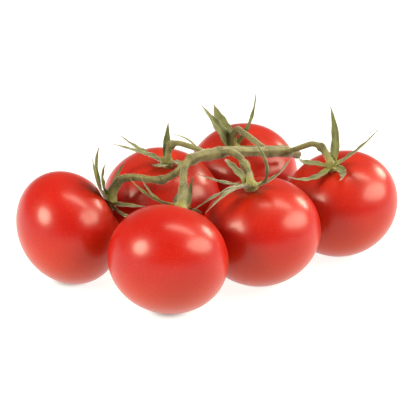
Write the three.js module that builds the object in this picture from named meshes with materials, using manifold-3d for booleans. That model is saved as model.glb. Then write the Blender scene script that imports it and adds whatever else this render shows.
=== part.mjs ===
// A truss of six ripe tomatoes lying on a flat surface, in millimetres.
// +X runs along the stem towards its cut end, +Z is up, and the fruits stand on Z = 0.
import * as THREE from 'three';
import { mergeVertices } from 'three/addons/utils/BufferGeometryUtils.js';
import Module from 'manifold-3d';

const wasm = await Module();
wasm.setup();

// The middle of the truss's box, which is moved to X = 0, Y = 0
const MIDDLE = [1.65, 1.3, 0];

// Fruits, counted along the stem from its cut end. The axis points to the stem end, and
// a bulge is how far and which way the skin swells out of its round shape.
const FRUITS = [
  {
    at: [71.8, -34.1],
    radius: 33.1,
    squat: 0.877,
    axis: [-0.39, -0.09, 0.9],
    bulge: [1.1, -0.46, 1.07],
  },
  {
    at: [60.5, 37.5],
    radius: 34.3,
    squat: 0.879,
    axis: [-0.52, -0.29, 0.8],
    bulge: [0.48, -0.2, 0.47],
  },
  { at: [6.3, -35.8], radius: 33.0, squat: 0.879, axis: [-0.25, 0.02, 0.968] },
  { at: [-7.8, 32.5], radius: 34.7, squat: 0.882, axis: [-0.14, -0.35, 0.926] },
  { at: [-57.6, -33.5], radius: 31.4, squat: 0.897, axis: [0.52, 0.25, 0.816] },
  {
    at: [-73, 33.3],
    radius: 31.3,
    squat: 0.866,
    axis: [0.78, -0.36, 0.47],
    bulge: [-0.12, 0.92, 1.77],
  },
];
const BULGE_WIDTH = 0.75; // angle at which a bulge has mostly died away
const FLAT_SINK = 0.5; // the skin is pressed flat by this much where the fruit stands
const WELL_DEPTH = 3.8; // the hollow that the stem grows from
const WELL_WIDTH = 8;
const RIB_COUNT = 5; // soft ribs on the shoulder round the hollow
const RIB_HEIGHT = 0.15;
const RIB_ANGLE = 0.62;
const RIB_SPREAD = 0.4;
const FRUIT_SIDES = 28;
const FRUIT_RINGS = [4, 8, 13, 19, 27, 37, 48, 60, 72, 84, 96, 108, 120, 132, 144, 156, 168];

// The calyx sits this far up the fruit's half height
const CALYX_LEVEL = 0.945;
const KNUCKLE_GAP = 0.45; // between the two halves of a stalk's knuckle
const SEAT_GAP = 0.75; // between the calyx's foot and the fruit

// Main stem, from its cut end to its fork
const STEM = [
  [71, 0, 51.5], [62, -2, 55.5], [46, -3, 59], [29, -3, 62.3],
  [12, -3, 66], [-2, -3, 66.8], [-10, -4, 67.7], [-18, -4, 67],
];
const STEM_RADIUS = 2.6;
const STEM_NODES = [56, 44.6, 5, -4, -17]; // where it swells, along X
const NODE_SWELL = 0.8;
const NODE_LENGTH = 4.5;
const STEM_STEP = 3;
const STEM_SIDES = 12;

// Fruit stalks, one for each fruit: the points up to the knuckle, and those after it
const STALKS = [
  {
    before: [[56, -3, 56.8], [57.5, -8.5, 58.8], [59.5, -15, 62.2], [62, -20.5, 64.5]],
    knuckle: [63.3, -25.8, 63.6],
    after: [[62.2, -31.5, 60.5]],
    thin: 1.6,
    thick: 2,
  },
  {
    before: [[44.6, -3, 59.2], [44.8, 5.5, 61.1], [45.1, 12.3, 63.2], [45.3, 20, 65.4]],
    knuckle: [45, 25.2, 66],
    after: [[44.2, 28.2, 62.3]],
    thin: 1.8,
    thick: 2.3,
  },
  {
    before: [[5, -3, 66.3], [7.3, -9.4, 68.2], [7.7, -15.9, 66.9]],
    knuckle: [6.4, -22.3, 63.9],
    after: [[3.6, -28.6, 60.6]],
    thin: 1.9,
    thick: 2.1,
  },
  {
    before: [[-4, -3, 67], [-3.4, 4, 68], [-5.5, 12, 69.3], [-8.2, 18.2, 69.9]],
    knuckle: [-9.7, 21.1, 68.5],
    after: [[-10.9, 22.3, 64.3]],
    thin: 1.5,
    thick: 1.9,
  },
  {
    before: [[-16, -4, 67.2], [-22.9, -6.3, 64.8], [-28, -10.7, 61.3]],
    knuckle: [-32.1, -15.9, 57.8],
    after: [[-37, -20.8, 54.8]],
    thin: 1.9,
    thick: 2.4,
  },
  {
    before: [[-16, -4, 66.8], [-19.5, -2, 64.6], [-23.1, 0.2, 60.4], [-27.1, 3.1, 57.4]],
    knuckle: [-30, 5.6, 56],
    after: [
      [-34.1, 10.1, 56], [-39.5, 16.5, 56.8], [-44.6, 21.4, 55.7], [-47.8, 23.2, 52],
      [-50.4, 24, 47.4],
    ],
    thin: 1.9,
    thick: 1.85,
    approach: 1.6,
    flare: 3.3,
    flareLength: 14,
  },
];
const STALK_ROOT = 2.5; // radius where a stalk leaves the main stem
const ROOT_LENGTH = 3;
const KNUCKLE_RADIUS = 2.7;
const KNUCKLE_LENGTH = 1.8;
const STALK_FLARE = 2.9; // radius where a stalk widens into the calyx
const FLARE_LENGTH = 2.6;
const STALK_STEP = 2.4;
const STALK_SIDES = 10;
const APPROACH = 3.5; // a stalk runs straight into its calyx over this length

// The cushion that carries the sepals, as height above its centre and radius
const CUSHION = [[-0.5, 3.4], [0.4, 4.2], [1.4, 3.9], [2.6, 3.1], [3.6, 2.6]];
const CUSHION_FOOT = 1.5;
const CUSHION_SIDES = 14;

// Sepals, as angle round the stalk, first lift, bend along the length, turn along
// the length, length and width. Angles are in degrees.
const SEPALS = [
  [[16, 30, 33, 40, 33, 6.6], [294, 34, 9, 27, 36, 5], [266, 10, 17, -70, 27.5, 6],
   [192, -1, 50, -38, 32.5, 5.4], [139, 32, 21, 106, 33, 5]],
  [[117, 75, -9, -20, 35, 11.6], [69, 9, 0, -10, 31, 11.6], [344, 28, 31, 44, 36, 4.2],
   [295, 3.5, 9, 17, 33, 3.4], [247, 33, -9, 0, 20, 5]],
  [[153, 23, 17, -10, 29, 4.6], [195, 33.5, -62, -48, 41, 6], [210, 37.5, -52, -28, 45, 7],
   [108, 65, -85, -57, 25.5, 7], [287, 10, 150, -32, 36, 3.8], [272, 17, 42, 38, 36, 5.2]],
  [[65, 50, 13, -19, 21, 5.8], [142, 20, 17, -12, 29.5, 5.4], [175, 41, -21, -25, 37, 5],
   [213, 20, 21, -29, 20, 5.2], [269, 50, -65, -40, 31, 5], [309, -8, 20, 200, 44, 3.6]],
  [[109, 2, 54, 2, 31, 4.2], [151, -10, 48, 2, 29, 4.2], [73, 18, 36, -34, 20.5, 5],
   [27, 18, 79, 47, 28, 5], [345, 12, -10, 10, 11, 4.6]],
  [[182, -15, 62, -19, 38, 7.2], [198, -12, 37, -34, 37, 7], [143, 4, 32, 65, 25.5, 6.4],
   [98, 32, 29, -16, 26.5, 5], [244, 25, 3, 2, 31, 3.8], [268, 2, 24, -40, 25.5, 4.2]],
];
const SEPAL_ROOT = 2.2; // how far from the stalk's centre line a sepal starts
const SEPAL_HEIGHT = 1.5;
const SEPAL_THICK = 0.7;
const LEAF_TAPER = 1.05; // how fast the blade narrows, its width at the root, and its swell
const LEAF_ROOT = 0.7;
const LEAF_SWELL = 1.5;
const SEPAL_TIP = 0.16; // width at the tip, as a share of the full width
const SEPAL_HOLLOW = 0.14; // how far the edges turn up, as a share of the width
const SEPAL_STEPS = 11;

const CURVE_SAMPLES = 200; // points that stand for a stem's curve
const TANGENT_REACH = 0.05; // half the length that a curve's direction is taken over
const SAME_POINT = 1e-4; // corners nearer than this are one

const COLOURS = { fruit: 0xd22a1c, stem: 0x7f8a3c, calyx: 0x6f8238 };

const vector = (p) => new THREE.Vector3(...p);

// Closed skin over rings that all have the same number of points. The points in
// flipped have the split of their quads turned the other way.
function skin(rings, flipped = []) {
  const sides = rings[0].length;
  const points = rings.flat();
  const faces = [];
  for (let i = 0; i + 1 < rings.length; i += 1) {
    for (let k = 0; k < sides; k += 1) {
      const a = i * sides + k;
      const b = i * sides + ((k + 1) % sides);
      const c = a + sides;
      const d = b + sides;
      if (flipped.includes(k)) {
        faces.push([a, b, c], [b, d, c]);
      } else {
        faces.push([a, b, d], [a, d, c]);
      }
    }
  }
  const ends = [[0, 1], [rings.length - 1, -1]];
  for (const [ring, way] of ends) {
    const middle = new THREE.Vector3();
    rings[ring].forEach((p) => middle.addScaledVector(p, 1 / sides));
    points.push(middle);
    for (let k = 0; k < sides; k += 1) {
      const a = ring * sides + k;
      const b = ring * sides + ((k + 1) % sides);
      faces.push(way > 0 ? [points.length - 1, b, a] : [points.length - 1, a, b]);
    }
  }
  let volume = 0;
  const cross = new THREE.Vector3();
  for (const [a, b, c] of faces) {
    volume += points[a].dot(cross.crossVectors(points[b], points[c]));
  }
  const outward = volume > 0 ? faces : faces.map(([a, b, c]) => [a, c, b]);
  return new wasm.Manifold(new wasm.Mesh({
    numProp: 3,
    vertProperties: new Float32Array(points.flatMap((p) => [p.x, p.y, p.z])),
    triVerts: new Uint32Array(outward.flat()),
  }));
}

// Round bar along a curve between two of its parameters, with a radius for each
// distance from its start and its end
function bar(curve, from, to, step, sides, radiusAt, trim = [0, 0]) {
  const line = [];
  for (let i = 0; i <= CURVE_SAMPLES; i += 1) {
    line.push(curve.getPoint(from + ((to - from) * i) / CURVE_SAMPLES));
  }
  const along = [0];
  for (let i = 1; i <= CURVE_SAMPLES; i += 1) {
    along.push(along[i - 1] + line[i].distanceTo(line[i - 1]));
  }
  const length = along[CURVE_SAMPLES];
  const pointAt = (distance) => {
    let i = 1;
    while (i < CURVE_SAMPLES && along[i] < distance) {
      i += 1;
    }
    const share = (distance - along[i - 1]) / (along[i] - along[i - 1]);
    return line[i - 1].clone().lerp(line[i], share);
  };
  const first = trim[0];
  const last = length - trim[1];
  const count = Math.ceil((last - first) / step);
  const stations = [];
  for (let i = 0; i <= count; i += 1) {
    stations.push(first + ((last - first) * i) / count);
  }
  let side = null;
  const rings = stations.map((distance, i) => {
    const centre = pointAt(distance);
    // The end faces are square to the curve's own ends, so that two bars that meet
    // at a knuckle keep an even gap
    const facing = [distance, 0, length][(i === 0) + 2 * (i === count)];
    const behind = pointAt(Math.max(facing - TANGENT_REACH, 0));
    const ahead = pointAt(Math.min(facing + TANGENT_REACH, length));
    const tangent = ahead.sub(behind).normalize();
    if (!side) {
      const flattest = Math.abs(tangent.z) < 0.9 ? [0, 0, 1] : [1, 0, 0];
      side = vector(flattest);
    }
    side.addScaledVector(tangent, -side.dot(tangent)).normalize();
    const other = new THREE.Vector3().crossVectors(tangent, side);
    const radius = radiusAt(distance, length - distance, centre);
    return Array.from({ length: sides }, (_, k) => {
      const angle = (2 * Math.PI * k) / sides;
      return centre.clone()
        .addScaledVector(side, radius * Math.cos(angle))
        .addScaledVector(other, radius * Math.sin(angle));
    });
  });
  return skin(rings);
}

// Where a fruit stands, how it is turned and where its calyx grows
function place(fruit) {
  const axis = vector(fruit.axis).normalize();
  const half = fruit.radius * fruit.squat;
  const level = axis.z * axis.z;
  const reach = Math.sqrt(fruit.radius ** 2 * (1 - level) + half ** 2 * level);
  const centre = new THREE.Vector3(...fruit.at, reach - FLAT_SINK);
  const turn = new THREE.Quaternion().setFromUnitVectors(new THREE.Vector3(0, 0, 1), axis);
  const calyx = centre.clone().addScaledVector(axis, half * CALYX_LEVEL);
  return { axis, half, centre, turn, calyx };
}

// A point of a fruit's skin, by angle from the stem end and angle round the axis
function fruitPoint(fruit, half, down, round) {
  const out = fruit.radius * Math.sin(down);
  const rib = RIB_HEIGHT * Math.exp(-(((down - RIB_ANGLE) / RIB_SPREAD) ** 2));
  const lift = rib * Math.cos(RIB_COUNT * round);
  const well = WELL_DEPTH * Math.exp(-((out / WELL_WIDTH) ** 2));
  const height = half * Math.cos(down) + (down < Math.PI / 2 ? lift - well : 0);
  return new THREE.Vector3(out * Math.cos(round), out * Math.sin(round), height);
}

function fruitSolid(fruit) {
  const { half, centre, turn } = place(fruit);
  const rings = FRUIT_RINGS.map((degrees) => {
    const down = THREE.MathUtils.degToRad(degrees);
    return Array.from({ length: FRUIT_SIDES }, (_, k) => {
      const round = (2 * Math.PI * k) / FRUIT_SIDES;
      const point = fruitPoint(fruit, half, down, round).applyQuaternion(turn);
      if (fruit.bulge) {
        const swell = vector(fruit.bulge);
        const away = point.angleTo(swell) / BULGE_WIDTH;
        point.setLength(point.length() + swell.length() * Math.exp(-(away ** 2)));
      }
      return point.add(centre);
    });
  });
  const whole = skin(rings);
  const reach = 2 * fruit.radius;
  const slab = [-reach, 0].map((z) => [[-1, -1], [1, -1], [1, 1], [-1, 1]].map(
    ([x, y]) => new THREE.Vector3(centre.x + x * reach, centre.y + y * reach, z),
  ));
  return whole.subtract(skin(slab));
}

function sepal(spec, origin, turn) {
  const [round, lift, bend, sway, length, width] = spec;
  const rad = THREE.MathUtils.degToRad;
  const ray = (angle, out, up) => new THREE.Vector3(
    out * Math.cos(angle), out * Math.sin(angle), up,
  );
  const start = ray(rad(round), SEPAL_ROOT, SEPAL_HEIGHT);
  const line = [ray(rad(round), SEPAL_ROOT / 4, SEPAL_HEIGHT / 2), start];
  for (let i = 0; i < SEPAL_STEPS; i += 1) {
    const s = (i + 0.5) / SEPAL_STEPS;
    const slope = rad(lift + bend * s);
    const heading = ray(rad(round + sway * s), Math.cos(slope), Math.sin(slope));
    line.push(line[i + 1].clone().addScaledVector(heading, length / SEPAL_STEPS));
  }
  const across = new THREE.Vector3(-Math.sin(rad(round)), Math.cos(rad(round)), 0);
  const rings = line.map((point, i) => {
    const ahead = line[Math.min(i + 1, line.length - 1)];
    const behind = line[Math.max(i - 1, 0)];
    const tangent = ahead.clone().sub(behind).normalize();
    across.addScaledVector(tangent, -across.dot(tangent)).normalize();
    const above = new THREE.Vector3().crossVectors(tangent, across);
    const s = Math.max(i - 1, 0) / SEPAL_STEPS;
    const leaf = (1 - s) ** LEAF_TAPER * (LEAF_ROOT + LEAF_SWELL * s);
    const half = (width / 2) * Math.max(leaf, SEPAL_TIP);
    const edge = SEPAL_HOLLOW * 2 * half;
    const corner = (x, z) => point.clone()
      .addScaledVector(across, x * half)
      .addScaledVector(above, z);
    const t = SEPAL_THICK / 2;
    return [
      corner(-1, edge + t), corner(0, t), corner(1, edge + t),
      corner(1, edge - t), corner(0, -t), corner(-1, edge - t),
    ];
  });
  const placed = rings.map((ring) => ring.map((p) => p.applyQuaternion(turn).add(origin)));
  return skin(placed, [3, 4]);
}

// Curve of a whole stalk, from the main stem to the calyx, and its knuckle's parameter
function stalkCurve(stalk, spot) {
  const approach = spot.calyx.clone().addScaledVector(spot.axis, stalk.approach ?? APPROACH);
  const points = [...stalk.before, stalk.knuckle, ...stalk.after].map(vector);
  points.push(approach, spot.calyx.clone());
  const curve = new THREE.CatmullRomCurve3(points, false, 'centripetal');
  return { curve, split: stalk.before.length / (points.length - 1) };
}

function stalkBefore(stalk, spot) {
  const { curve, split } = stalkCurve(stalk, spot);
  const radius = (start, end) => stalk.thin
    + (STALK_ROOT - stalk.thin) * Math.exp(-((start / ROOT_LENGTH) ** 2))
    + (KNUCKLE_RADIUS - stalk.thin) * Math.exp(-((end / KNUCKLE_LENGTH) ** 2));
  return bar(curve, 0, split, STALK_STEP, STALK_SIDES, radius, [0, KNUCKLE_GAP / 2]);
}

function calyxSolid(fruit, stalk, sepals) {
  const spot = place(fruit);
  const { curve, split } = stalkCurve(stalk, spot);
  const { flare = STALK_FLARE, flareLength = FLARE_LENGTH } = stalk;
  const radius = (start, end) => stalk.thick
    + (KNUCKLE_RADIUS - stalk.thick) * Math.exp(-((start / KNUCKLE_LENGTH) ** 2))
    + (flare - stalk.thick) * Math.exp(-((end / flareLength) ** 2));
  let solid = bar(curve, split, 1, STALK_STEP, STALK_SIDES, radius, [KNUCKLE_GAP / 2, 0]);

  // The cushion's foot reaches down into the hollow of the fruit
  const foot = spot.half * (1 - CALYX_LEVEL) - WELL_DEPTH + SEAT_GAP;
  const cushion = [[foot, CUSHION_FOOT], ...CUSHION].map(([height, out]) => (
    Array.from({ length: CUSHION_SIDES }, (_, k) => {
      const angle = (2 * Math.PI * k) / CUSHION_SIDES;
      return new THREE.Vector3(out * Math.cos(angle), out * Math.sin(angle), height)
        .applyQuaternion(spot.turn).add(spot.calyx);
    })
  ));
  solid = solid.add(skin(cushion));
  for (const spec of sepals) {
    solid = solid.add(sepal(spec, spot.calyx, spot.turn));
  }
  return solid;
}

function stemSolid() {
  const curve = new THREE.CatmullRomCurve3(STEM.map(vector), false, 'centripetal');
  const radius = (start, end, centre) => STEM_NODES.reduce(
    (r, x) => r + NODE_SWELL * Math.exp(-(((centre.x - x) / NODE_LENGTH) ** 2)),
    STEM_RADIUS,
  );
  let solid = bar(curve, 0, 1, STEM_STEP, STEM_SIDES, radius);
  STALKS.forEach((stalk, i) => {
    solid = solid.add(stalkBefore(stalk, place(FRUITS[i])));
  });
  return solid;
}

function mesh(name, solid, colour) {
  const { numProp, vertProperties, triVerts } = solid.getMesh();
  const geometry = new THREE.BufferGeometry();
  const positions = [];
  for (let i = 0; i < vertProperties.length; i += numProp) {
    positions.push(
      vertProperties[i] - MIDDLE[0],
      vertProperties[i + 1] - MIDDLE[1],
      vertProperties[i + 2] - MIDDLE[2],
    );
  }
  geometry.setAttribute('position', new THREE.Float32BufferAttribute(positions, 3));
  geometry.setIndex(Array.from(triVerts));
  const merged = mergeVertices(geometry, SAME_POINT);
  const result = new THREE.Mesh(merged, new THREE.MeshStandardMaterial({ color: colour }));
  result.name = name;
  return result;
}

const truss = new THREE.Group();
truss.name = 'tomato_truss';
truss.add(mesh('peduncle', stemSolid(), COLOURS.stem));
FRUITS.forEach((fruit, i) => {
  truss.add(mesh(`tomato_${i + 1}`, fruitSolid(fruit), COLOURS.fruit));
  truss.add(mesh(`calyx_${i + 1}`, calyxSolid(fruit, STALKS[i], SEPALS[i]), COLOURS.calyx));
});

export default truss;
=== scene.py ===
"""Looks of a truss of six ripe tomatoes on a pale floor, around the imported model.

The truss and the camera's place are set out in millimetres, as the solids are, and turned
into the metres of the row frame where they are made. The floor and the lights are in metres.
"""
import math

import bpy
import numpy as np
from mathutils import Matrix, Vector
from mathutils.kdtree import KDTree


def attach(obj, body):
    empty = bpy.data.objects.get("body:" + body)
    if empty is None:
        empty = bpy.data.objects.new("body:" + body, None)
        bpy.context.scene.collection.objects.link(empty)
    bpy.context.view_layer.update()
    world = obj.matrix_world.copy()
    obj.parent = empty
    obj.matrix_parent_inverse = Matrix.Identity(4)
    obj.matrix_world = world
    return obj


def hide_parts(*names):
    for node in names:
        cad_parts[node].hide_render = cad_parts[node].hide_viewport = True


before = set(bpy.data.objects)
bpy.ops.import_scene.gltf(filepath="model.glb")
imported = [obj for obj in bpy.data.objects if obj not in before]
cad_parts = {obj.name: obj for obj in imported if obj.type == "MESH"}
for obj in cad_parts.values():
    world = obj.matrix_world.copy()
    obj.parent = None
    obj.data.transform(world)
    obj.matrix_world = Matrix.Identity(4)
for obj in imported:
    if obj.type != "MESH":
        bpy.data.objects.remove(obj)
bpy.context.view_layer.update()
MM = 0.001
rng = np.random.default_rng(6)

# The middle of the truss's box, which lies at X = 0, Y = 0 of the row frame
MIDDLE = np.array([1.65, 1.3, 0.0])

# Fruits, counted along the stem from its cut end. The axis points to the stem end, and a
# bulge is how far and which way the skin swells out of its round shape.
FRUITS = [
    dict(at=(71.8, -34.1), radius=33.1, squat=0.877, axis=(-0.39, -0.09, 0.9),
         bulge=(1.1, -0.46, 1.07)),
    dict(at=(60.5, 37.5), radius=34.3, squat=0.879, axis=(-0.52, -0.29, 0.8),
         bulge=(0.48, -0.2, 0.47)),
    dict(at=(6.3, -35.8), radius=33.0, squat=0.879, axis=(-0.25, 0.02, 0.968)),
    dict(at=(-7.8, 32.5), radius=34.7, squat=0.882, axis=(-0.14, -0.35, 0.926)),
    dict(at=(-57.6, -33.5), radius=31.4, squat=0.897, axis=(0.52, 0.25, 0.816)),
    dict(at=(-73, 33.3), radius=31.3, squat=0.866, axis=(0.78, -0.36, 0.47),
         bulge=(-0.12, 0.92, 1.77)),
]
BULGE_WIDTH = 0.75  # angle at which a bulge has mostly died away
FLAT_SINK = 0.5  # the skin is pressed flat by this much where the fruit stands
WELL_DEPTH = 3.8  # the hollow that the stem grows from
WELL_WIDTH = 8.0
RIB_COUNT = 5  # soft ribs on the shoulder round the hollow
RIB_HEIGHT = 0.15
RIB_ANGLE = 0.62
RIB_SPREAD = 0.4
CALYX_LEVEL = 0.945  # the calyx sits this far up the fruit's half height

# Main stem, from its cut end to its fork
STEM = [
    (71, 0, 51.5), (62, -2, 55.5), (46, -3, 59), (29, -3, 62.3),
    (12, -3, 66), (-2, -3, 66.8), (-10, -4, 67.7), (-18, -4, 67),
]
STEM_RADIUS = 2.6
STEM_NODES = (56, 44.6, 5, -4, -17)  # where it swells, along X
NODE_SWELL = 0.8
NODE_LENGTH = 4.5

# Fruit stalks, one for each fruit: the points up to the knuckle, and those after it
STALKS = [
    dict(before=[(56, -3, 56.8), (57.5, -8.5, 58.8), (59.5, -15, 62.2), (62, -20.5, 64.5)],
         knuckle=(63.3, -25.8, 63.6), after=[(62.2, -31.5, 60.5)], thin=1.6, thick=2.0),
    dict(before=[(44.6, -3, 59.2), (44.8, 5.5, 61.1), (45.1, 12.3, 63.2), (45.3, 20, 65.4)],
         knuckle=(45, 25.2, 66), after=[(44.2, 28.2, 62.3)], thin=1.8, thick=2.3),
    dict(before=[(5, -3, 66.3), (7.3, -9.4, 68.2), (7.7, -15.9, 66.9)],
         knuckle=(6.4, -22.3, 63.9), after=[(3.6, -28.6, 60.6)], thin=1.9, thick=2.1),
    dict(before=[(-4, -3, 67), (-3.4, 4, 68), (-5.5, 12, 69.3), (-8.2, 18.2, 69.9)],
         knuckle=(-9.7, 21.1, 68.5), after=[(-10.9, 22.3, 64.3)], thin=1.5, thick=1.9),
    dict(before=[(-16, -4, 67.2), (-22.9, -6.3, 64.8), (-28, -10.7, 61.3)],
         knuckle=(-32.1, -15.9, 57.8), after=[(-37, -20.8, 54.8)], thin=1.9, thick=2.4),
    dict(before=[(-16, -4, 66.8), (-19.5, -2, 64.6), (-23.1, 0.2, 60.4), (-27.1, 3.1, 57.4)],
         knuckle=(-30, 5.6, 56),
         after=[(-34.1, 10.1, 56), (-39.5, 16.5, 56.8), (-44.6, 21.4, 55.7), (-47.8, 23.2, 52),
                (-50.4, 24, 47.4)],
         thin=1.9, thick=1.85, approach=1.6, flare=3.3, flare_length=14.0),
]
STALK_ROOT = 2.5  # radius where a stalk leaves the main stem
ROOT_LENGTH = 3.0
KNUCKLE_RADIUS = 2.7
KNUCKLE_LENGTH = 1.8
STALK_FLARE = 2.9  # radius where a stalk widens into the calyx
FLARE_LENGTH = 2.6
APPROACH = 3.5  # a stalk runs straight into its calyx over this length

# The cushion that carries the sepals, as height above its centre and radius
CUSHION = [(-0.5, 3.4), (0.4, 4.2), (1.4, 3.9), (2.6, 3.1), (3.6, 2.6)]
CUSHION_FOOT = 1.5
CUSHION_SEAT = 0.1  # gap between the cushion's foot and the fruit

# Sepals, as angle round the stalk, first lift, bend along the length, turn along the
# length, length and width. Angles are in degrees.
SEPALS = [
    [[16, 30, 33, 40, 33, 6.6], [294, 34, 9, 27, 36, 5], [266, 10, 17, -70, 27.5, 6],
     [192, -1, 50, -38, 32.5, 5.4], [139, 32, 21, 106, 33, 5]],
    [[117, 75, -9, -20, 35, 11.6], [69, 9, 0, -10, 31, 11.6], [344, 28, 31, 44, 36, 4.2],
     [295, 3.5, 9, 17, 33, 3.4], [247, 33, -9, 0, 20, 5]],
    [[153, 23, 17, -10, 29, 4.6], [195, 33.5, -62, -48, 41, 6], [210, 37.5, -52, -28, 45, 7],
     [108, 65, -85, -57, 25.5, 7], [287, 10, 150, -32, 36, 3.8], [272, 17, 42, 38, 36, 5.2]],
    [[65, 50, 13, -19, 21, 5.8], [142, 20, 17, -12, 29.5, 5.4], [175, 41, -21, -25, 37, 5],
     [213, 20, 21, -29, 20, 5.2], [269, 50, -65, -40, 31, 5], [309, -8, 20, 200, 44, 3.6]],
    [[109, 2, 54, 2, 31, 4.2], [151, -10, 48, 2, 29, 4.2], [73, 18, 36, -34, 20.5, 5],
     [27, 18, 79, 47, 28, 5], [345, 12, -10, 10, 11, 4.6]],
    [[182, -15, 62, -19, 38, 7.2], [198, -12, 37, -34, 37, 7], [143, 4, 32, 65, 25.5, 6.4],
     [98, 32, 29, -16, 26.5, 5], [244, 25, 3, 2, 31, 3.8], [268, 2, 24, -40, 25.5, 4.2]],
]
SEPAL_ROOT = 2.2  # how far from the stalk's centre line a sepal starts
SEPAL_HEIGHT = 1.5
LEAF_TAPER = 1.05  # how fast the blade narrows, its width at the root, and its swell
LEAF_ROOT = 0.7
LEAF_SWELL = 1.5

# Numbers from here on are for this finer model alone. The skin of a fruit:
FRUIT_ROUND = 144  # points round it
FRUIT_DOWN = 92  # steps from its stem end to its blossom scar
RING_SHIFT = 0.14  # draws the rings together near the stem end
CREASE_COUNT = 11  # small creases that run into the hollow
CREASE_HEIGHT = 0.03
CREASE_AT = 7.0
CREASE_SPREAD = 3.2
CREASE_TURN = 1.7  # from one fruit to the next
SCAR_DEPTH = 0.5  # dimple at the blossom scar
SCAR_WIDTH = 1.6
SCAR_RAGGED = 0.016  # how far the scar's brown edge strays, as a share of the way down

# The stem and the stalks
CURVE_STEPS = 24  # samples of a curve for each of its spans
TUBE_SIDES = 28
STEM_VOXEL = 0.34
SOFTEN_FACTOR = 0.6  # strength of each smoothing step, and the number of steps
STEM_SOFTEN = 5
CALYX_SOFTEN = 4
RIDGE_COUNT = 5  # fine ridges along a stem, and finer ones between them
RIDGE_HEIGHT = 0.09
FINE_RIDGE_COUNT = 8
FINE_RIDGE_SHARE = 0.6
FINE_RIDGE_TWIST = 9  # length over which the finer ones turn by one radian
CALM_REACH = 5  # the ridges die out this near a calyx
GRAIN_ROUND = 4.5  # scale of the colour's grain round a stem, and along it
GRAIN_ALONG = 0.35
GRAIN_SHIFT = 17  # between the grains of two stems
CUT_TINT = 0.9  # how brown the cut end is
CUT_TINT_AREA = 7
KNUCKLE_TINT = 0.35  # how brown a knuckle is
KNUCKLE_TINT_REACH = 2.2
CUSHION_FRESH = 0.5  # how yellow-green a cushion is

# The sepals
SEPAL_ALONG = 44
SEPAL_ACROSS = 8
LEAF_TWIST = 35  # degrees that a tip may be rolled
LEAF_TIP = 0.085  # width at the tip, as a share of the full width
FULL_TURN = 6.3  # radians that count as a whole wave
WAVE_COUNT = (2.5, 4.5)  # fewest and most waves along an edge
WAVE_HEIGHT = 0.16
EDGE_LIFT = 0.28
EDGE_FOLD = 0.06
VEIN_HEIGHT = 0.05
VEIN_WAVES = 9
BLADE_THICK = 0.62
EDGE_THINNING = 0.40
TIP_THICK = 0.45  # share of the thickness that is left at the tip
MIDRIB_HEIGHT = 0.34
MIDRIB_WIDTH = 0.16
MIDRIB_FADE = 0.8
BLADE_GRAIN_ACROSS = 5
BLADE_GRAIN_ALONG = 3
DRY_FROM = 0.72  # share of the length where a blade starts to dry
DRY_POWER = 1.5
DRY_TINT = 0.9
ROOT_FRESH = 0.55  # how yellow-green a blade's root is, and its midrib
ROOT_FRESH_REACH = 0.12
MIDRIB_FRESH = 0.12
MIDRIB_FRESH_WIDTH = 0.2

# Short hairs on the stem and the stalks
HAIR_LENGTH = (0.45, 1.0)
HAIR_RADIUS = 0.035
HAIR_ROOT = 0.08  # how deep a hair is sunk in
HAIR_LEAN = 0.35
HAIR_SIDES = 3
HAIRS_PER_MM2 = 1.6

# The photo's viewing angle, fitted to the outlines of the six fruits. Azimuth 0 looks
# along +Y, and the target and the distance are in millimetres.
VIEW_AZIMUTH = -41.0
VIEW_ELEVATION = 19.2
VIEW_DISTANCE = 654.2
VIEW_TARGET = np.array([3.7, 11.9, 35.0]) - MIDDLE
SENSOR = 36.0
FOCAL_PIXELS = 1136.7
IMAGE_PIXELS = 400
NEAREST_SEEN = 0.01

# Colours, as linear red, green and blue
SKIN_DEEP = (0.35, 0.0035, 0.0013)
SKIN_BRIGHT = (0.415, 0.0073, 0.002)
# The lower skin's lighter orange is painted bounce light from the floor
SKIN_LOW_BOUNCE = (0.445, 0.028, 0.001)
SKIN_SHOULDER = (0.42, 0.028, 0.005)
SKIN_DOT = (0.85, 0.20, 0.06)
SCAR_BROWN = (0.22, 0.10, 0.035)
FRESH_GREEN = (0.42, 0.42, 0.07)
HAIR_DULL = (0.42, 0.42, 0.22)
HAIR_PALE = (0.66, 0.64, 0.42)
FLOOR_GREY = (0.25, 0.25, 0.25)
FLOOR_LIGHT = (1.0, 0.985, 0.95)
HORIZON = (1.0, 0.98, 0.95)
ROOM = (0.25, 0.232, 0.185)
CEILING = (0.4, 0.36, 0.28)
LAMP = (1.0, 0.9, 0.69)

# The stage, in metres
FLOOR_SIDE = 12.0
FLOOR_DROP = 0.0002  # keeps the floor clear of the fruits' flat spots
FLOOR_GLOW = 0.92
CONTACT_SHADOW_RADIUS = 0.0075  # the painted contact shadow on the floor reaches this far round the spot where a fruit stands
CONTACT_SHADOW_EDGE = 0.75  # how far the painted shadow's edge fades, as a share of its radius
# How much the painted contact shadow dims the floor's glow
CONTACT_SHADOW_DIM = 0.85
LAMP_AIM = Vector((0, 0, 0.04))


def unit(v):
    v = np.asarray(v, float)
    return v / np.linalg.norm(v)


def turn_matrix(axis):
    """Shortest turn from +Z to the axis, as a 3x3 array."""
    turn = Vector((0, 0, 1)).rotation_difference(Vector(axis)).to_matrix()
    return np.array(turn)


def place(fruit):
    """Where a fruit stands, how it is turned and where its calyx grows."""
    axis = unit(fruit["axis"])
    half = fruit["radius"] * fruit["squat"]
    level = axis[2] ** 2
    reach = math.sqrt(fruit["radius"] ** 2 * (1 - level) + half ** 2 * level)
    centre = np.array([*fruit["at"], reach - FLAT_SINK])
    calyx = centre + axis * half * CALYX_LEVEL
    return dict(axis=axis, half=half, centre=centre, turn=turn_matrix(axis), calyx=calyx)


SPOTS = [place(fruit) for fruit in FRUITS]


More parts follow.
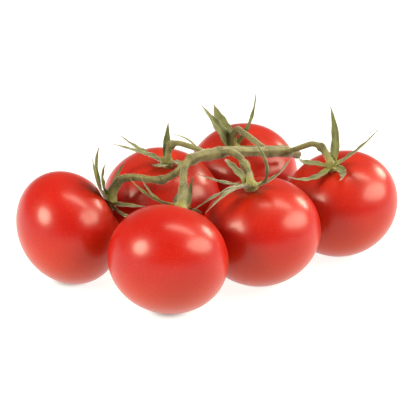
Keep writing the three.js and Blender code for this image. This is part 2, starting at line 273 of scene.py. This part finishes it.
# Lines and meshes
def smooth_line(points):
    """Centripetal Catmull-Rom curve through the points. Returns its samples and, for each
    given point, the index of its sample."""
    p = [np.asarray(q, float) for q in points]
    p = [2 * p[0] - p[1]] + p + [2 * p[-1] - p[-2]]
    out = []
    for i in range(1, len(p) - 2):
        a, b, c, d = p[i - 1:i + 3]
        ta, tb, tc = (np.linalg.norm(v) ** 0.5 for v in (b - a, c - b, d - c))
        m = ((b - a) / ta - (c - a) / (ta + tb) + (c - b) / tb) * tb
        n = ((c - b) / tb - (d - b) / (tb + tc) + (d - c) / tc) * tb
        for k in range(CURVE_STEPS):
            t = k / CURVE_STEPS
            out.append(b + m * t + (3 * (c - b) - 2 * m - n) * t ** 2
                       + (2 * (b - c) + m + n) * t ** 3)
    out.append(p[-2])
    return np.array(out), [i * CURVE_STEPS for i in range(len(points))]


def lengths(line):
    """Length along a line up to each of its points."""
    steps = np.linalg.norm(np.diff(line, axis=0), axis=1)
    return np.concatenate([[0], np.cumsum(steps)])


def tangents(line):
    ahead = np.gradient(line, axis=0)
    return ahead / np.linalg.norm(ahead, axis=1)[:, None]


def side_vectors(line):
    """Tangent and two cross vectors that don't twist, at each point of a line."""
    tangent = tangents(line)
    side = np.array([0.0, 0, 1]) if abs(tangent[0][2]) < 0.9 else np.array([1.0, 0, 0])
    sides = []
    for t in tangent:
        side = unit(side - t * side.dot(t))
        sides.append(side)
    sides = np.array(sides)
    return tangent, sides, np.cross(tangent, sides)


def swell_curve(x, height, length):
    """Rise of a soft swelling, at each distance from its middle."""
    return height * np.exp(-(x / length) ** 2)


def mesh_object(name, points, faces, smooth=True):
    """Mesh of points in millimetres, in the row frame."""
    data = bpy.data.meshes.new(name)
    data.from_pydata(((np.asarray(points) - MIDDLE) * MM).tolist(), [], faces)
    data.validate()
    data.polygons.foreach_set("use_smooth", [smooth] * len(data.polygons))
    obj = bpy.data.objects.new(name, data)
    bpy.context.scene.collection.objects.link(obj)
    return obj


def ring_faces(rings, sides):
    """Quads between rings that each have the same number of points."""
    faces = []
    for r in range(rings - 1):
        for k in range(sides):
            p = r * sides + k
            q = r * sides + (k + 1) % sides
            faces.append((p, q, q + sides, p + sides))
    return faces


def tube(line, radius):
    """Points and faces of a closed tube round a line."""
    _, one, two = side_vectors(line)
    angle = np.linspace(0, 2 * np.pi, TUBE_SIDES, endpoint=False)
    round_line = (np.cos(angle)[None, :, None] * one[:, None]
                  + np.sin(angle)[None, :, None] * two[:, None])
    points = (line[:, None] + radius[:, None, None] * round_line).reshape(-1, 3)
    last = (len(line) - 1) * TUBE_SIDES
    faces = ring_faces(len(line), TUBE_SIDES)
    faces.append(tuple(range(TUBE_SIDES))[::-1])
    faces.append(tuple(range(last, last + TUBE_SIDES)))
    return points, faces


def joined(parts):
    """Points and faces of several parts, as those of one."""
    points = []
    faces = []
    base = 0
    for part_points, part_faces in parts:
        points.append(part_points)
        faces += [tuple(i + base for i in face) for face in part_faces]
        base += len(part_points)
    return np.concatenate(points), faces


def vertex_values(obj, name):
    """Corners or normals of an object's mesh, as rows of three."""
    values = np.zeros(len(obj.data.vertices) * 3)
    obj.data.vertices.foreach_get(name, values)
    return values.reshape(-1, 3)


def vector_attribute(obj, name, values):
    layer = obj.data.attributes.new(name, "FLOAT_VECTOR", "POINT")
    layer.data.foreach_set("vector", np.asarray(values, np.float32).ravel())


def set_tint(obj, dry, fresh):
    """How dry and brown, and how fresh and yellow-green, the green is at each point."""
    vector_attribute(obj, "tint", np.stack([dry, fresh, np.zeros(len(dry))], 1))


def finish_piece(obj, mat, slot, *nodes):
    obj.data.materials.clear()
    obj.data.materials.append(mat)
    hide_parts(*nodes)
    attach(obj, "root")


# Material nodes
def grey(level):
    return (level, level, level)


def material(name):
    mat = bpy.data.materials.new(name)
    mat.use_nodes = True
    tree = mat.node_tree
    shader = tree.nodes["Principled BSDF"]
    return mat, tree, shader


def node(tree, kind, **values):
    """A node with its sockets' values or its own settings."""
    made = tree.nodes.new(kind)
    for key, value in values.items():
        if key in made.inputs:
            made.inputs[key].default_value = value
        else:
            setattr(made, key, value)
    return made


def object_place(tree):
    return tree.nodes.new("ShaderNodeTexCoord").outputs["Object"]


def attribute(tree, name):
    return node(tree, "ShaderNodeAttribute", attribute_name=name).outputs["Vector"]


def split(tree, vector):
    parts = tree.nodes.new("ShaderNodeSeparateXYZ")
    tree.links.new(vector, parts.inputs["Vector"])
    return parts.outputs


def noise(tree, where, scale, detail=3.0, rough=0.5):
    made = node(tree, "ShaderNodeTexNoise", Scale=scale, Detail=detail, Roughness=rough)
    tree.links.new(where, made.inputs["Vector"])
    return made.outputs["Fac"]


def ramp(tree, value, stops):
    made = tree.nodes.new("ShaderNodeValToRGB")
    band = made.color_ramp
    while len(band.elements) < len(stops):
        band.elements.new(0.5)
    for element, (position, colour) in zip(band.elements, stops):
        element.position = position
        element.color = (*colour, 1)
    tree.links.new(value, made.inputs["Fac"])
    return made.outputs["Color"]


def mix(tree, share, first, second, blend="MIX"):
    """Mix of two colours. Each value is a socket or a constant."""
    made = tree.nodes.new("ShaderNodeMix")
    made.data_type = "RGBA"
    made.blend_type = blend
    colours = [socket for socket in made.inputs if socket.type == "RGBA"]
    for socket, value in zip((made.inputs["Factor"], *colours), (share, first, second)):
        if isinstance(value, bpy.types.NodeSocket):
            tree.links.new(value, socket)
        elif socket.type == "RGBA":
            socket.default_value = (*value, 1)
        else:
            socket.default_value = value
    return next(socket for socket in made.outputs if socket.type == "RGBA")


def calculate(tree, operation, *values):
    """Result of a sum on sockets or numbers."""
    made = node(tree, "ShaderNodeMath", operation=operation)
    for socket, value in zip(made.inputs, values):
        if isinstance(value, bpy.types.NodeSocket):
            tree.links.new(value, socket)
        else:
            socket.default_value = value
    return made.outputs["Value"]


def bump(tree, height, strength, distance, under=None):
    made = node(tree, "ShaderNodeBump", Strength=strength, Distance=distance)
    tree.links.new(height, made.inputs["Height"])
    if under is not None:
        tree.links.new(under, made.inputs["Normal"])
    return made.outputs["Normal"]


def skin_colour(tree, place_at):
    """Red with slow drifts of tone, a lighter lower part that is painted bounce light, faint
    pale dots and a brown scar.
    """
    parts = split(tree, attribute(tree, "fruit"))
    down = parts["X"]
    height = parts["Z"]
    drift = noise(tree, place_at, scale=38, detail=2)
    colour = ramp(tree, drift, [(0.3, SKIN_DEEP), (0.7, SKIN_BRIGHT)])
    # Lighter and more orange low down, which is painted bounce light from the white floor, and
    # more orange round the stem end
    low = ramp(tree, height, [(0.22, grey(1)), (0.62, grey(0))])
    colour = mix(tree, low, colour, SKIN_LOW_BOUNCE)
    shoulder = ramp(tree, down, [(0.0, grey(0.8)), (0.12, grey(0.3)), (0.34, grey(0))])
    colour = mix(tree, shoulder, colour, SKIN_SHOULDER)
    # The blossom scar has a ragged edge
    ragged = calculate(tree, "MULTIPLY_ADD", noise(tree, place_at, scale=1100, detail=2),
                       SCAR_RAGGED, down)
    scar = ramp(tree, ragged, [(0.984, grey(0)), (1.0, grey(0.95))])
    colour = mix(tree, scar, colour, SCAR_BROWN)
    cells = node(tree, "ShaderNodeTexVoronoi", Scale=900.0)
    tree.links.new(place_at, cells.inputs["Vector"])
    dots = ramp(tree, cells.outputs["Distance"], [(0.1, grey(0.12)), (0.3, grey(0))])
    return mix(tree, dots, colour, SKIN_DOT)


def skin_material(index):
    """Ripe skin with a waxy gloss and slow waves."""
    mat, tree, shader = material(f"ripe_skin_{index}")
    place_at = object_place(tree)
    tree.links.new(skin_colour(tree, place_at), shader.inputs["Base Color"])
    gloss = ramp(tree, noise(tree, place_at, scale=120), [(0.3, grey(0.31)), (0.7, grey(0.38))])
    tree.links.new(gloss, shader.inputs["Roughness"])
    shader.inputs["IOR"].default_value = 1.34
    shader.inputs["Subsurface Weight"].default_value = 0.12
    shader.inputs["Subsurface Radius"].default_value = (1.0, 0.15, 0.05)
    shader.inputs["Subsurface Scale"].default_value = 0.003
    shader.inputs["Coat Weight"].default_value = 0.3
    shader.inputs["Coat Roughness"].default_value = 0.2
    wave = noise(tree, place_at, scale=26, detail=1)
    pores = noise(tree, place_at, scale=500, detail=1)
    normal = bump(tree, wave, strength=0.35, distance=0.0006)
    normal = bump(tree, pores, strength=0.06, distance=0.0001, under=normal)
    tree.links.new(normal, shader.inputs["Normal"])
    return mat


def green_material(name, young, old, dry, dryness):
    """Green stem or leaf: fine lengthwise grain, drifts of olive and drier brown patches."""
    mat, tree, shader = material(name)
    place_at = object_place(tree)
    colour = ramp(tree, noise(tree, place_at, scale=160), [(0.32, old), (0.68, young)])
    streak = noise(tree, attribute(tree, "grain"), scale=1.0)
    streaks = ramp(tree, streak, [(0.3, old), (0.7, young)])
    colour = mix(tree, 0.4, colour, streaks, "SOFT_LIGHT")
    patch = ramp(tree, noise(tree, place_at, scale=420, detail=4, rough=0.7),
                 [(dryness, grey(0)), (dryness + 0.12, grey(0.8))])
    colour = mix(tree, patch, colour, dry)
    tint = split(tree, attribute(tree, "tint"))
    colour = mix(tree, tint["X"], colour, dry)
    colour = mix(tree, tint["Y"], colour, FRESH_GREEN)
    tree.links.new(colour, shader.inputs["Base Color"])
    shader.inputs["Roughness"].default_value = 0.62
    shader.inputs["Sheen Weight"].default_value = 0.6
    shader.inputs["Sheen Roughness"].default_value = 0.4
    shader.inputs["Subsurface Weight"].default_value = 0.12
    shader.inputs["Subsurface Radius"].default_value = (0.6, 1.0, 0.2)
    shader.inputs["Subsurface Scale"].default_value = 0.0015
    fine = noise(tree, place_at, scale=1500)
    normal = bump(tree, streak, strength=0.6, distance=0.0002)
    normal = bump(tree, fine, strength=0.35, distance=0.00012, under=normal)
    tree.links.new(normal, shader.inputs["Normal"])
    return mat


def hair_material():
    mat, tree, shader = material("plant_hair")
    drift = noise(tree, object_place(tree), scale=300, detail=2)
    colour = ramp(tree, drift, [(0.3, HAIR_DULL), (0.7, HAIR_PALE)])
    tree.links.new(colour, shader.inputs["Base Color"])
    shader.inputs["Roughness"].default_value = 0.5
    return mat


# Fruits
def bulged(points, bulge):
    """Points round a fruit's centre, pushed out towards the bulge."""
    swell = np.array(bulge)
    size = np.linalg.norm(swell)
    reach = np.linalg.norm(points, axis=1)
    away = np.arccos(np.clip(points @ swell / (reach * size), -1, 1)) / BULGE_WIDTH
    return points * (1 + size * np.exp(-away ** 2) / reach)[:, None]


def fruit_points(i):
    """Skin points by rings from the stem end, with each point's share of the way down and
    its angle round the axis."""
    fruit = FRUITS[i]
    spot = SPOTS[i]
    share = np.linspace(0, 1, FRUIT_DOWN + 1)[1:-1]
    down = np.pi * (share - RING_SHIFT * np.sin(np.pi * share) * (1 - share))
    around = np.linspace(0, 2 * np.pi, FRUIT_ROUND, endpoint=False)
    down, around = np.meshgrid(down, around, indexing="ij")
    out = fruit["radius"] * np.sin(down)
    upper = down < np.pi / 2
    rib = swell_curve(down - RIB_ANGLE, RIB_HEIGHT, RIB_SPREAD) * np.cos(RIB_COUNT * around)
    well = swell_curve(out, WELL_DEPTH, WELL_WIDTH)
    crease = swell_curve(out - CREASE_AT, CREASE_HEIGHT, CREASE_SPREAD)
    crease = crease * np.cos(CREASE_COUNT * around + CREASE_TURN * i)
    scar = swell_curve(out, SCAR_DEPTH, SCAR_WIDTH)
    height = spot["half"] * np.cos(down) + np.where(upper, rib - well + crease, scar)
    local = np.stack([out * np.cos(around), out * np.sin(around), height], -1)
    points = local.reshape(-1, 3) @ spot["turn"].T
    if "bulge" in fruit:
        points = bulged(points, fruit["bulge"])
    return points + spot["centre"], (down / np.pi).ravel(), around.ravel()


def make_fruit(i):
    spot = SPOTS[i]
    points, down, around = fruit_points(i)
    top = spot["centre"] + spot["axis"] * (spot["half"] - WELL_DEPTH)
    bottom = spot["centre"] - spot["axis"] * (spot["half"] - SCAR_DEPTH)
    points = np.vstack([points, top, bottom])
    points[:, 2] = np.maximum(points[:, 2], 0.0)
    down = np.append(down, [0, 1])
    around = np.append(around, [0, 0])

    rings = FRUIT_DOWN - 1
    faces = [(a, d, c, b) for a, b, c, d in ring_faces(rings, FRUIT_ROUND)]
    first = len(points) - 2
    last = len(points) - 1
    low = (rings - 1) * FRUIT_ROUND
    for k in range(FRUIT_ROUND):
        n = (k + 1) % FRUIT_ROUND
        faces.append((first, k, n))
        faces.append((last, low + n, low + k))
    obj = mesh_object(f"skin_{i + 1}", points, faces)
    level = points[:, 2] / points[:, 2].max()
    vector_attribute(obj, "fruit", np.stack([down, around, level], 1))
    finish_piece(obj, skin_material(i + 1), "tomato_skin", f"tomato_{i + 1}")


# Stem and stalks
def stalk_halves(stalk, spot):
    """A stalk up to its knuckle and the rest of it, each as a line and its radius."""
    points = [*stalk["before"], stalk["knuckle"], *stalk["after"],
              spot["calyx"] + stalk.get("approach", APPROACH) * spot["axis"], spot["calyx"]]
    line, index = smooth_line(points)
    knuckle = index[len(stalk["before"])]
    run = lengths(line)
    before = run[:knuckle + 1]
    after = run[knuckle:]
    thin = stalk["thin"]
    thick = stalk["thick"]
    flare = stalk.get("flare", STALK_FLARE)
    flare_length = stalk.get("flare_length", FLARE_LENGTH)
    near = (thin + swell_curve(before, STALK_ROOT - thin, ROOT_LENGTH)
            + swell_curve(run[knuckle] - before, KNUCKLE_RADIUS - thin, KNUCKLE_LENGTH))
    far = (thick + swell_curve(after - run[knuckle], KNUCKLE_RADIUS - thick, KNUCKLE_LENGTH)
           + swell_curve(run[-1] - after, flare - thick, flare_length))
    return (line[:knuckle + 1], near), (line[knuckle:], far)


def fused(name, parts, soften_steps):
    """One body from overlapping tubes, remeshed and smoothed."""
    points, faces = joined(parts)
    obj = mesh_object(name, points, faces)
    remesh = obj.modifiers.new("remesh", "REMESH")
    remesh.mode = "VOXEL"
    remesh.voxel_size = STEM_VOXEL * MM
    soften = obj.modifiers.new("soften", "SMOOTH")
    soften.factor = SOFTEN_FACTOR
    soften.iterations = soften_steps
    graph = bpy.context.evaluated_depsgraph_get()
    data = bpy.data.meshes.new_from_object(obj.evaluated_get(graph))
    obj.modifiers.clear()
    obj.data = data
    data.polygons.foreach_set("use_smooth", [True] * len(data.polygons))
    return obj


def grain_and_ridges(points, lines):
    """Place in the lengthwise grain, and height of the ridges, by the nearest line."""
    stations = []
    for number, line in enumerate(lines):
        tangent, one, two = side_vectors(line)
        run = lengths(line)
        for k, centre in enumerate(line):
            stations.append((centre, tangent[k], one[k], two[k], run[k], number))
    tree = KDTree(len(stations))
    for k, station in enumerate(stations):
        tree.insert(station[0], k)
    tree.balance()
    grain = np.zeros_like(points)
    ridge = np.zeros(len(points))
    for k, point in enumerate(points):
        centre, tangent, one, two, run, number = stations[tree.find(point)[1]]
        off = point - centre
        run = run + off.dot(tangent)
        angle = math.atan2(off.dot(two), off.dot(one))
        grain[k] = (GRAIN_ROUND * math.cos(angle), GRAIN_ROUND * math.sin(angle),
                    GRAIN_ALONG * run + GRAIN_SHIFT * number)
        fine = math.cos(FINE_RIDGE_COUNT * angle + 2 * number + run / FINE_RIDGE_TWIST)
        ridge[k] = math.cos(RIDGE_COUNT * angle + number) + FINE_RIDGE_SHARE * fine
    return grain, ridge


def add_ridges(obj, lines, calm_at=None):
    """Raises fine ridges along the lines, which die out near the calm point, and sets the
    grain. Returns the new points and the ridges' strength at each."""
    points = vertex_values(obj, "co") / MM + MIDDLE
    grain, ridge = grain_and_ridges(points, lines)
    strength = np.ones(len(points))
    if calm_at is not None:
        strength = 1 - swell_curve(np.linalg.norm(points - calm_at, axis=1), 1, CALM_REACH)
    lift = (ridge * RIDGE_HEIGHT * strength)[:, None]
    points = points + vertex_values(obj, "normal") * lift
    obj.data.vertices.foreach_set("co", ((points - MIDDLE) * MM).astype(np.float32).ravel())
    obj.data.update()
    vector_attribute(obj, "grain", grain)
    return points, strength


def knuckle_tint(points, stalk):
    gap = np.linalg.norm(points - np.array(stalk["knuckle"]), axis=1)
    return KNUCKLE_TINT * np.exp(-(gap / KNUCKLE_TINT_REACH) ** 4)


def make_stem(halves):
    """The main stem and each stalk up to its knuckle."""
    line, _ = smooth_line(STEM)
    radius = STEM_RADIUS + sum(
        swell_curve(line[:, 0] - x, NODE_SWELL, NODE_LENGTH) for x in STEM_NODES)
    bars = [(line, radius)] + [near for near, _ in halves]
    stem = fused("stem_and_stalks", [tube(*bar) for bar in bars], STEM_SOFTEN)
    points, _ = add_ridges(stem, [bar[0] for bar in bars])
    from_cut = np.linalg.norm(points - np.array(STEM[0]), axis=1)
    brown = CUT_TINT * np.exp(-from_cut ** 2 / CUT_TINT_AREA)
    brown = brown + np.max([knuckle_tint(points, stalk) for stalk in STALKS], axis=0)
    set_tint(stem, np.clip(brown, 0, 1), np.zeros(len(points)))
    finish_piece(stem, stem_green, "stem", "peduncle")
    return stem


# Calyxes
def cushion_tube(spot):
    foot = spot["half"] * (1 - CALYX_LEVEL) - WELL_DEPTH + CUSHION_SEAT
    profile = [(foot, CUSHION_FOOT)] + CUSHION
    line = np.array([spot["calyx"] + height * spot["axis"] for height, _ in profile])
    return tube(line, np.array([radius for _, radius in profile]))


def make_stalk_end(i, far):
    """The rest of a stalk, from its knuckle on, and the cushion."""
    spot = SPOTS[i]
    end = fused(f"stalk_end_{i + 1}", [tube(*far), cushion_tube(spot)], CALYX_SOFTEN)
    points, strength = add_ridges(end, [far[0]], spot["calyx"])
    set_tint(end, knuckle_tint(points, STALKS[i]), CUSHION_FRESH * (1 - strength))
    finish_piece(end, stem_green, "calyx", f"calyx_{i + 1}")
    return end


def ray(angle, out, up):
    """Vector that reaches out at an angle round +Z, and up."""
    return np.array([out * math.cos(angle), out * math.sin(angle), up])


def sepal_line(spec, spot):
    round_at, lift, bend, sway, length, _ = spec
    start = math.radians(round_at)
    line = [ray(start, SEPAL_ROOT, SEPAL_HEIGHT)]
    for i in range(SEPAL_ALONG):
        s = (i + 0.5) / SEPAL_ALONG
        slope = math.radians(lift + bend * s)
        heading = ray(math.radians(round_at + sway * s), math.cos(slope), math.sin(slope))
        line.append(line[-1] + heading * length / SEPAL_ALONG)
    line = [ray(start, SEPAL_ROOT / 4, SEPAL_HEIGHT / 2)] + line
    return np.array(line) @ spot["turn"].T + spot["calyx"]


def blade_section(x, s, half, ripple):
    """Heights of a blade's top and bottom at each x across it, at the share s along it."""
    middle = half * (EDGE_LIFT * x ** 2 + EDGE_FOLD * np.abs(x)) + ripple * x * np.abs(x)
    vein = VEIN_HEIGHT * half * np.cos(x * VEIN_WAVES) * (1 - x ** 2)
    thick = 0.5 * (BLADE_THICK - EDGE_THINNING * np.abs(x))
    thick = thick * (TIP_THICK + (1 - TIP_THICK) * (1 - s))
    rib = swell_curve(x, MIDRIB_HEIGHT, MIDRIB_WIDTH) * (1 - MIDRIB_FADE * s)
    return middle + thick + vein, middle - thick - rib


def blade_faces(rows):
    """Faces of a blade whose points are the rows of its top, then those of its bottom."""
    n = SEPAL_ACROSS + 1
    under = rows * n
    faces = []
    for i in range(rows - 1):
        for k in range(SEPAL_ACROSS):
            p = i * n + k
            faces.append((p, p + n, p + n + 1, p + 1))
            faces.append((under + p, under + p + 1, under + p + n + 1, under + p + n))
        left = i * n
        right = left + SEPAL_ACROSS
        faces.append((left, under + left, under + left + n, left + n))
        faces.append((right, right + n, under + right + n, under + right))
    for k in range(SEPAL_ACROSS):
        p = (rows - 1) * n + k
        faces.append((k, k + 1, under + k + 1, under + k))
        faces.append((p, under + p, under + p + 1, p + 1))
    return faces


def sepal_blade(spec, spot):
    """A fine leaf with a raised midrib, turned-up wavy edges and a thin tip. Returns its
    points and faces, and each point's share of the length and of the half width."""
    round_at, *_, width = spec
    line = sepal_line(spec, spot)
    start = math.radians(round_at)
    across = spot["turn"] @ np.array([-math.sin(start), math.cos(start), 0])
    twist = math.radians(rng.uniform(-LEAF_TWIST, LEAF_TWIST))
    phase = rng.uniform(0, FULL_TURN)
    waves = rng.uniform(*WAVE_COUNT)
    x = np.linspace(-1, 1, SEPAL_ACROSS + 1)
    tops = []
    bottoms = []
    shares = []
    for i, (point, tangent) in enumerate(zip(line, tangents(line))):
        s = max(i - 1, 0) / SEPAL_ALONG
        across = unit(across - tangent * across.dot(tangent))
        above = np.cross(tangent, across)
        roll = twist * s ** 2
        wide = across * math.cos(roll) + above * math.sin(roll)
        high = np.cross(tangent, wide)
        leaf = (1 - s) ** LEAF_TAPER * (LEAF_ROOT + LEAF_SWELL * s)
        half = width / 2 * max(leaf, LEAF_TIP)
        ripple = WAVE_HEIGHT * half * math.sin(waves * FULL_TURN * s + phase)
        top, bottom = blade_section(x, s, half, ripple)
        row = point + x[:, None] * half * wide
        tops.append(row + top[:, None] * high)
        bottoms.append(row + bottom[:, None] * high)
        shares += [(s, side) for side in x]
    points = np.concatenate(tops + bottoms)
    return points, blade_faces(len(line)), np.array(shares * 2)


def make_sepals(i):
    blades = [sepal_blade(spec, SPOTS[i]) for spec in SEPALS[i]]
    points, faces = joined([blade[:2] for blade in blades])
    sepals = mesh_object(f"sepals_{i + 1}", points, faces)
    s, x = np.concatenate([shares for _, _, shares in blades]).T
    vector_attribute(sepals, "grain", np.stack(
        [BLADE_GRAIN_ACROSS * x, BLADE_GRAIN_ALONG * s, np.full(len(s), i)], 1))
    tip = np.clip((s - DRY_FROM) / (1 - DRY_FROM), 0, 1) ** DRY_POWER
    fresh = (swell_curve(s, ROOT_FRESH, ROOT_FRESH_REACH)
             + swell_curve(x, MIDRIB_FRESH, MIDRIB_FRESH_WIDTH))
    set_tint(sepals, DRY_TINT * tip, fresh)
    finish_piece(sepals, sepal_green, "calyx", f"calyx_{i + 1}")


# Hairs
def hairs_on(obj):
    """Points and faces of short needles that stand on an object, each a closed sliver."""
    data = obj.data
    data.calc_loop_triangles()
    corners = vertex_values(obj, "co") / MM + MIDDLE
    triangles = np.zeros(len(data.loop_triangles) * 3, int)
    data.loop_triangles.foreach_get("vertices", triangles)
    a, b, c = (corners[t] for t in triangles.reshape(-1, 3).T)
    normal = np.cross(b - a, c - a)
    double_area = np.linalg.norm(normal, axis=1)
    count = int(HAIRS_PER_MM2 * double_area.sum() / 2)
    pick = rng.choice(len(a), count, p=double_area / double_area.sum())
    u, v = rng.random((2, count, 1))
    outside = u + v > 1
    u = np.where(outside, 1 - u, u)
    v = np.where(outside, 1 - v, v)
    root = a[pick] + u * (b - a)[pick] + v * (c - a)[pick]
    out = normal[pick] / double_area[pick, None]
    way = out + rng.normal(0, HAIR_LEAN, (count, 3))
    way /= np.linalg.norm(way, axis=1)[:, None]
    length = rng.uniform(*HAIR_LENGTH, (count, 1))
    # Any direction that isn't along the hair gives the first of its two cross vectors
    one = np.cross(way, out[:, [1, 2, 0]])
    one /= np.linalg.norm(one, axis=1)[:, None]
    two = np.cross(way, one)
    ring = []
    for k in range(HAIR_SIDES):
        angle = 2 * math.pi * k / HAIR_SIDES
        ring.append(root - HAIR_ROOT * out
                    + HAIR_RADIUS * (math.cos(angle) * one + math.sin(angle) * two))
    points = np.stack([*ring, root + length * way], 1).reshape(-1, 3)
    # A hair's points are the corners of its root, then its tip
    size = HAIR_SIDES + 1
    faces = []
    for first in range(0, size * count, size):
        tip = first + HAIR_SIDES
        faces.append(tuple(range(first, tip))[::-1])
        for k in range(HAIR_SIDES):
            faces.append((first + k, first + (k + 1) % HAIR_SIDES, tip))
    return points, faces


def make_hairs(name, body):
    points, faces = hairs_on(body)
    hairs = mesh_object(name, points, faces, smooth=False)
    hairs.data.materials.append(plant_hair)
    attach(hairs, "root")


# Camera and stage
def make_camera():
    azimuth = math.radians(VIEW_AZIMUTH)
    elevation = math.radians(VIEW_ELEVATION)
    back = np.array([math.sin(azimuth) * math.cos(elevation),
                     -math.cos(azimuth) * math.cos(elevation), math.sin(elevation)])
    camera = bpy.data.objects.new("camera", bpy.data.cameras.new("camera"))
    bpy.context.scene.collection.objects.link(camera)
    camera.location = Vector((VIEW_TARGET + back * VIEW_DISTANCE) * MM)
    camera.rotation_euler = Vector(-back).to_track_quat("-Z", "Y").to_euler()
    camera.data.sensor_width = SENSOR
    camera.data.lens = SENSOR * FOCAL_PIXELS / IMAGE_PIXELS
    camera.data.clip_start = NEAREST_SEEN
    return camera


def floor_material():
    """Glowing white floor with a painted contact shadow round the spot where each fruit stands
    on it.
    """
    mat, tree, shader = material("pale_floor")
    shader.inputs["Base Color"].default_value = (*FLOOR_GREY, 1)
    shader.inputs["Roughness"].default_value = 0.9
    shader.inputs["Emission Color"].default_value = (*FLOOR_LIGHT, 1)
    place_at = object_place(tree)
    # Painted contact shadow: the glow drops near the spot where each fruit stands
    glow = 1.0
    for spot in SPOTS:
        x, y, _ = (spot["centre"] - MIDDLE) * MM
        gap = node(tree, "ShaderNodeVectorMath", operation="DISTANCE")
        tree.links.new(place_at, gap.inputs[0])
        gap.inputs[1].default_value = (x, y, 0)
        rise = node(tree, "ShaderNodeMapRange", interpolation_type="SMOOTHSTEP")
        rise.inputs["From Min"].default_value = (1 - CONTACT_SHADOW_EDGE) * CONTACT_SHADOW_RADIUS
        rise.inputs["From Max"].default_value = (1 + CONTACT_SHADOW_EDGE) * CONTACT_SHADOW_RADIUS
        rise.inputs["To Min"].default_value = 1 - CONTACT_SHADOW_DIM
        tree.links.new(gap.outputs["Value"], rise.inputs["Value"])
        glow = calculate(tree, "MINIMUM", glow, rise.outputs["Result"])
    strength = calculate(tree, "MULTIPLY", glow, FLOOR_GLOW)
    tree.links.new(strength, shader.inputs["Emission Strength"])
    return mat


def make_floor():
    bpy.ops.mesh.primitive_plane_add(size=FLOOR_SIDE, location=(0, 0, -FLOOR_DROP))
    floor = bpy.context.object
    floor.name = "floor"
    floor.data.materials.append(floor_material())


def make_room():
    """A world that is white where the floor ends, and dim above that."""
    world = bpy.data.worlds.new("studio")
    bpy.context.scene.world = world
    world.use_nodes = True
    tree = world.node_tree
    way = tree.nodes.new("ShaderNodeTexCoord").outputs["Generated"]
    up = split(tree, way)["Z"]
    glow = ramp(tree, up, [(0.06, HORIZON), (0.16, ROOM), (0.6, ROOM), (1.0, CEILING)])
    tree.links.new(glow, tree.nodes["Background"].inputs["Color"])


def soft_box(name, azimuth, elevation, distance, width, height, power, tilt=0):
    """Oval area light that faces the truss, at an azimuth and elevation in degrees. The
    tilt turns it in its own plane."""
    data = bpy.data.lights.new(name, "AREA")
    data.shape = "ELLIPSE"
    data.size = width
    data.size_y = height
    data.energy = power
    data.color = LAMP
    obj = bpy.data.objects.new(name, data)
    bpy.context.scene.collection.objects.link(obj)
    away = Vector(ray(math.radians(azimuth), math.cos(math.radians(elevation)),
                      math.sin(math.radians(elevation))))
    obj.location = away * distance + LAMP_AIM
    obj.rotation_euler = (-away).to_track_quat("-Z", "Y").to_euler()
    obj.rotation_euler.rotate_axis("Z", math.radians(tilt))


bpy.context.scene.camera = make_camera()
stem_green = green_material("stem_green", young=(0.238, 0.228, 0.083),
                            old=(0.084, 0.08, 0.018), dry=(0.17, 0.105, 0.038), dryness=0.57)
sepal_green = green_material("sepal_green", young=(0.18, 0.19, 0.064),
                             old=(0.076, 0.086, 0.019), dry=(0.15, 0.122, 0.08), dryness=0.62)
plant_hair = hair_material()

for fruit_index in range(len(FRUITS)):
    make_fruit(fruit_index)

stalk_parts = [stalk_halves(stalk, spot) for stalk, spot in zip(STALKS, SPOTS)]
stem = make_stem(stalk_parts)
stalk_ends = []
for fruit_index, (_, far_half) in enumerate(stalk_parts):
    stalk_ends.append(make_stalk_end(fruit_index, far_half))
    make_sepals(fruit_index)

make_hairs("stem_hairs", stem)
for number, end in enumerate(stalk_ends, 1):
    make_hairs(f"stalk_hairs_{number}", end)

make_floor()
make_room()

# A small box in front of each large one leaves soft edges on the highlights
soft_box("left_box", azimuth=171, elevation=28, distance=1.45, width=0.9, height=1.0, power=3)
soft_box("left_core", azimuth=170, elevation=28, distance=1.4, width=0.68, height=0.66,
         power=22)
soft_box("right_box", azimuth=310, elevation=32, distance=1.55, width=1.9, height=1.2,
         power=3, tilt=-22)
soft_box("right_core", azimuth=308, elevation=31, distance=1.5, width=1.5, height=0.7,
         power=26, tilt=-25)
soft_box("far_right_box", azimuth=358, elevation=24, distance=1.6, width=0.4, height=0.4,
         power=9)
soft_box("top_box", azimuth=323, elevation=69, distance=1.5, width=0.34, height=1.3, power=12)

bpy.context.scene.view_settings.view_transform = "Standard"
